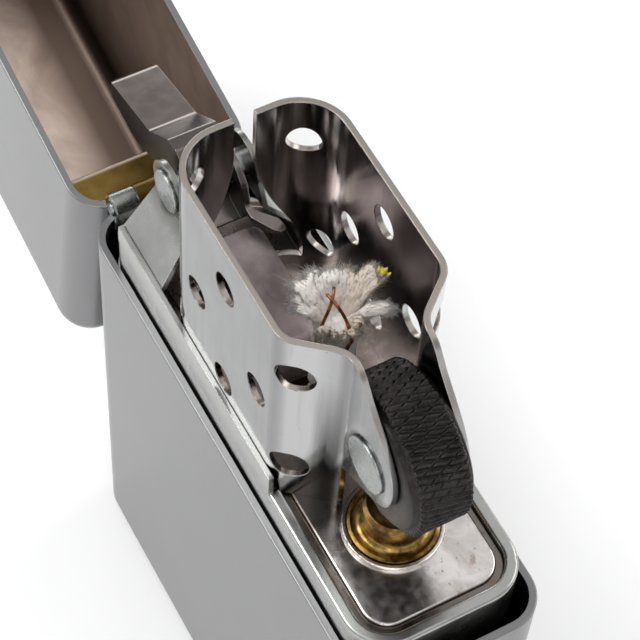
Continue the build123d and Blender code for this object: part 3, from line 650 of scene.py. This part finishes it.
def petal(neck, tip, width, seed):
    """A flat, ragged tuft of cotton from the neck to the tip: its points, faces and path."""
    rings, turns = 26, 26
    lift = Vector((0, 0, 0.35)) * (tip - neck).length
    path = curve([neck, neck.lerp(tip, 0.35) + lift, neck.lerp(tip, 0.75) + lift, tip], rings)
    points = []
    for i, p in enumerate(path):
        t = i / (rings - 1)
        ahead = (path[min(i + 1, rings - 1)] - path[max(i - 1, 0)]).normalized()
        side = ahead.cross(Vector((0, 0, 1))).normalized()
        other = side.cross(ahead)
        # widens from the neck, then closes over the last fifth
        half_wide = 1.2 * width * (0.42 + 0.58 * math.sin(min(1.0, t * 1.35) * math.pi / 2))
        half_wide *= 1 - 0.55 * max(0.0, t - 0.8) / 0.2
        half_thick = 0.36 * MM * (1 - 0.6 * t) * (1 - 0.7 * max(0.0, t - 0.85) / 0.15)
        for k in range(turns):
            a = 2 * math.pi * k / turns
            fold = 0.16 * MM * math.sin(3.1 * math.cos(a) + seed)
            flat = side * half_wide * math.cos(a)
            point = p + flat + other * (half_thick * math.sin(a) + fold * t)
            spot = point / MM * 2.4 + Vector((seed, 0, 0))
            puff = 0.22 * noise.noise(spot * 0.6) + 0.05 * noise.noise(spot * 1.9)
            ragged = ahead * 0.6 * MM * noise.noise(Vector((k * 1.7, seed, 0.5))) * t * t
            out = side * math.cos(a) * 0.5 + other * math.sin(a)
            points.append(point + out * puff * MM + ragged)
    return points, ring_grid(rings, turns), path


# A tuft's tip, in millimetres from the top of the wick, its half width and its shade.
TUFTS = (
    ((-1.55, -2.0, -0.5), 0.62, "wick_fibre_pale"),
    ((-2.3, -1.1, 0.1), 0.85, "wick_fibre_pale"),
    ((-1.9, 0.6, 0.4), 0.85, "wick_fibre_pale"),
    ((-1.1, 2.0, 0.3), 0.75, "wick_fibre"),
    ((-0.45, 2.9, 0.7), 0.62, "wick_fibre"),
    ((1.35, 2.8, -0.6), 0.42, "wick_fibre_pale"),
    ((1.0, -0.95, -1.35), 0.8, "wick_fibre"),
    ((1.25, 0.95, -1.1), 0.8, "wick_fibre"),
)
CORD_FOOT_DROP = 2 * MM
CORD_TOP_DROP = 1.6 * MM
TUFT_ROOT_DROP = 0.7 * MM
TUFT_ROOT_AWAY = 0.55 * MM
HAIRS_PER_TUFT = 1100
HAIR_RADII = [0.012 * MM, 0.011 * MM, 0.008 * MM, 0.003 * MM]
LONG_HAIR_SHARE = 0.004
LONG_HAIR_STRETCH = 3.5
FLECK_PLACE = (-0.3, 2.95, 0.75)
FLECK_STRANDS = 26
FLECK_RADII = [0.10 * MM, 0.09 * MM, 0.03 * MM]


def loose_hair(rng, points, path):
    """One fibre that stands off a tuft's skin, half of them near its tip: path and radii."""
    start = rng.choice(points[len(points) // 4 :])
    if rng.random() < 0.5:
        start = rng.choice(points[len(points) * 4 // 5 :])
    ring = min(range(len(path)), key=lambda i: (path[i] - start).length_squared)
    ahead = (path[min(ring + 2, len(path) - 1)] - path[max(ring - 2, 0)]).normalized()
    out = (start - path[ring]).normalized()
    stray = Vector((rng.gauss(0, 1), rng.gauss(0, 1), rng.gauss(0, 1)))
    way = (ahead + out * 0.20 + stray * 0.30).normalized()
    length = rng.uniform(0.10, 0.42) * MM
    if rng.random() < LONG_HAIR_SHARE:
        length *= LONG_HAIR_STRETCH
    droop = Vector((rng.gauss(0, 0.3), rng.gauss(0, 0.3), rng.gauss(-0.05, 0.25)))
    hair = [start + (way * t + droop * t * t) * length for t in (0.0, 0.35, 0.7, 1.0)]
    return hair, HAIR_RADII


def fleck_tubes(rng):
    """Short yellow strands at the tip of the far tuft."""
    tubes = []
    for _ in range(FLECK_STRANDS):
        offset = Vector([rng.gauss(0, 0.12) for _ in range(3)])
        start = WICK + (Vector(FLECK_PLACE) + offset) * MM
        way = Vector((rng.gauss(0.05, 0.12), rng.gauss(0.25, 0.12), rng.gauss(0.1, 0.12))) * MM
        tubes.append(([start, start + way * 0.6, start + way], FLECK_RADII))
    return tubes


def make_wick():
    """A twisted cord whose end opens into flat tufts, with loose fibres along their rims."""
    low = plate_low.z - CORD_FOOT_DROP
    top = WICK.z - CORD_TOP_DROP
    cord = join_tubes("wick_cord", cord_tubes(low, top), FIBRE, 10)
    rng = random.Random(11)
    shades = {"wick_fibre_pale": FIBRE, "wick_fibre": FIBRE_DARK}
    bodies = {shade: ([], []) for shade in shades}
    hairs = {shade: [] for shade in shades}
    for n, (tip, width, shade) in enumerate(TUFTS):
        away = Vector((tip[0], tip[1], 0)).normalized() * TUFT_ROOT_AWAY
        neck = Vector((WICK.x, 0, top - TUFT_ROOT_DROP)) + away
        points, faces, path = petal(neck, WICK + Vector(tip) * MM, width * MM, 4.0 * n)
        body_points, body_faces = bodies[shade]
        body_faces += [tuple(len(body_points) + k for k in f) for f in faces]
        body_points += points
        hairs[shade] += [loose_hair(rng, points, path) for _ in range(HAIRS_PER_TUFT)]
    pieces = [cord]
    for shade, material in shades.items():
        pieces.append(new_piece(shade + "_tufts", *bodies[shade], material))
        pieces.append(join_tubes(shade + "_hairs", hairs[shade], material, 3))
    pieces.append(join_tubes("wick_yellow_fleck", fleck_tubes(rng), FLECK, 6))
    for piece in pieces:
        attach(piece, "case")
    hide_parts("wick")


# Control points of the copper strands, in millimetres from the top of the wick.
WIRE_ROUTES = (
    (
        (0.2, -1.6, -4.4),
        (0.32, -1.42, -2.4),
        (0.1, -1.2, -1.3),
        (0.29, -0.75, -0.4),
        (0.05, -0.3, 0.5),
        (-0.74, 0.15, 0.65),
    ),
    (
        (1.1, 0.5, -2.8),
        (1.2, 0.25, -0.8),
        (0.75, 0.0, 0.1),
        (0.27, -0.25, 0.55),
        (-0.55, -0.4, 0.5),
    ),
    ((1.45, -0.6, -4.4), (1.58, -0.2, -2.4), (1.5, 0.65, -1.3), (1.2, 0.9, -0.9)),
)
WIRE_RINGS = 22


def make_wires():
    """Thin copper strands that leave the cord and cross over its frayed end."""
    radii = [(0.16 - 0.06 * min(1.0, i / 9)) * MM for i in range(WIRE_RINGS)]
    tubes = []
    for route in WIRE_ROUTES:
        tubes.append((curve([WICK + Vector(p) * MM for p in route], WIRE_RINGS), radii))
    wires = join_tubes("wick_copper_strands", tubes, COPPER, 8)
    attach(wires, "case")
    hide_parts("wick_wires")


make_wick()
make_wires()


# ------------------------------------------------------------------ floor, light and camera
FLOOR_HALF = 1.2
FLOOR_GAP = 0.00005


def make_floor():
    """A pale, matt square just under the lighter's foot."""
    material = bpy.data.materials.new("floor_white")
    material.use_nodes = True
    shader = material.node_tree.nodes["Principled BSDF"]
    shader.inputs["Base Color"].default_value = (0.9, 0.9, 0.9, 1)
    shader.inputs["Roughness"].default_value = 0.8
    signs = ((-1, -1), (1, -1), (1, 1), (-1, 1))
    corners = [(x * FLOOR_HALF, y * FLOOR_HALF, 0) for x, y in signs]
    floor = new_piece("floor", corners, [(0, 1, 2, 3)], material, smooth=False)
    floor.location.z = -FLOOR_GAP


# Name, place, point it faces, size and power.
LIGHTS = (
    ("key", (-0.25, -0.30, 0.55), (0, 0, 0.03), (0.35, 0.35), 2.2),
    ("fill", (0.45, -0.25, 0.40), (0, 0, 0.03), (0.3, 0.5), 1.0),
    ("back", (0.05, 0.50, 0.40), (0, 0, 0.03), (0.5, 0.3), 1.2),
    ("side", (-0.55, 0.14, 0.13), (-0.02, 0, 0.045), (0.5, 0.12), 0.6),
)


def make_light(name, place, aim, size, power):
    """A rectangular area light at place that faces aim."""
    data = bpy.data.lights.new(name, "AREA")
    data.shape = "RECTANGLE"
    data.size, data.size_y = size
    data.energy = power
    light = bpy.data.objects.new(name, data)
    light.location = place
    light.rotation_euler = (Vector(aim) - Vector(place)).to_track_quat("-Z", "Y").to_euler()
    bpy.context.scene.collection.objects.link(light)


# Height of the direction, from straight down (0) to straight up (1), and brightness there.
TENT_STOPS = ((0.0, 0.9), (0.30, 0.9), (0.46, 0.45), (0.70, 0.45), (0.85, 1.0))
TENT_STRENGTH = 0.95


def make_world():
    """A light tent: bright walls at the horizon, a greyer shoulder and a bright roof."""
    world = bpy.data.worlds.new("studio")
    world.use_nodes = True
    tree = world.node_tree
    split = tree.nodes.new("ShaderNodeSeparateXYZ")
    tree.links.new(tree.nodes.new("ShaderNodeTexCoord").outputs["Generated"], split.inputs[0])
    ramp = tree.nodes.new("ShaderNodeValToRGB")
    while len(ramp.color_ramp.elements) < len(TENT_STOPS):
        ramp.color_ramp.elements.new(0.5)
    for element, (height, level) in zip(ramp.color_ramp.elements, TENT_STOPS):
        element.position = height
        element.color = (level, level, level, 1)
    tree.links.new(split.outputs["Z"], ramp.inputs[0])
    tree.links.new(ramp.outputs[0], tree.nodes["Background"].inputs["Color"])
    tree.nodes["Background"].inputs["Strength"].default_value = TENT_STRENGTH
    bpy.context.scene.world = world


CAMERA_PLACE = Vector((61.01, -38.80, 157.56)) * MM
CAMERA_AHEAD = Vector((-0.4601, 0.2928, -0.8382)).normalized()
CAMERA_LEAN = Vector((-0.7493, 0.3785, 0.5435))


def make_camera():
    """The photograph's camera, as fitted to the lighter's outlines."""
    data = bpy.data.cameras.new("camera")
    data.sensor_width = 36.0
    data.lens = 127.37
    data.shift_x = 0.0061
    data.shift_y = -0.0109
    data.clip_start, data.clip_end = 0.01, 10
    camera = bpy.data.objects.new("camera", data)
    right = CAMERA_AHEAD.cross(CAMERA_LEAN).normalized()
    up = right.cross(CAMERA_AHEAD)
    turn = Matrix((right, up, -CAMERA_AHEAD)).transposed()
    camera.matrix_world = Matrix.Translation(CAMERA_PLACE) @ turn.to_4x4()
    bpy.context.scene.collection.objects.link(camera)
    bpy.context.scene.camera = camera


make_floor()
make_world()
for light_row in LIGHTS:
    make_light(*light_row)
make_camera()
bpy.context.scene.view_settings.view_transform = "Standard"
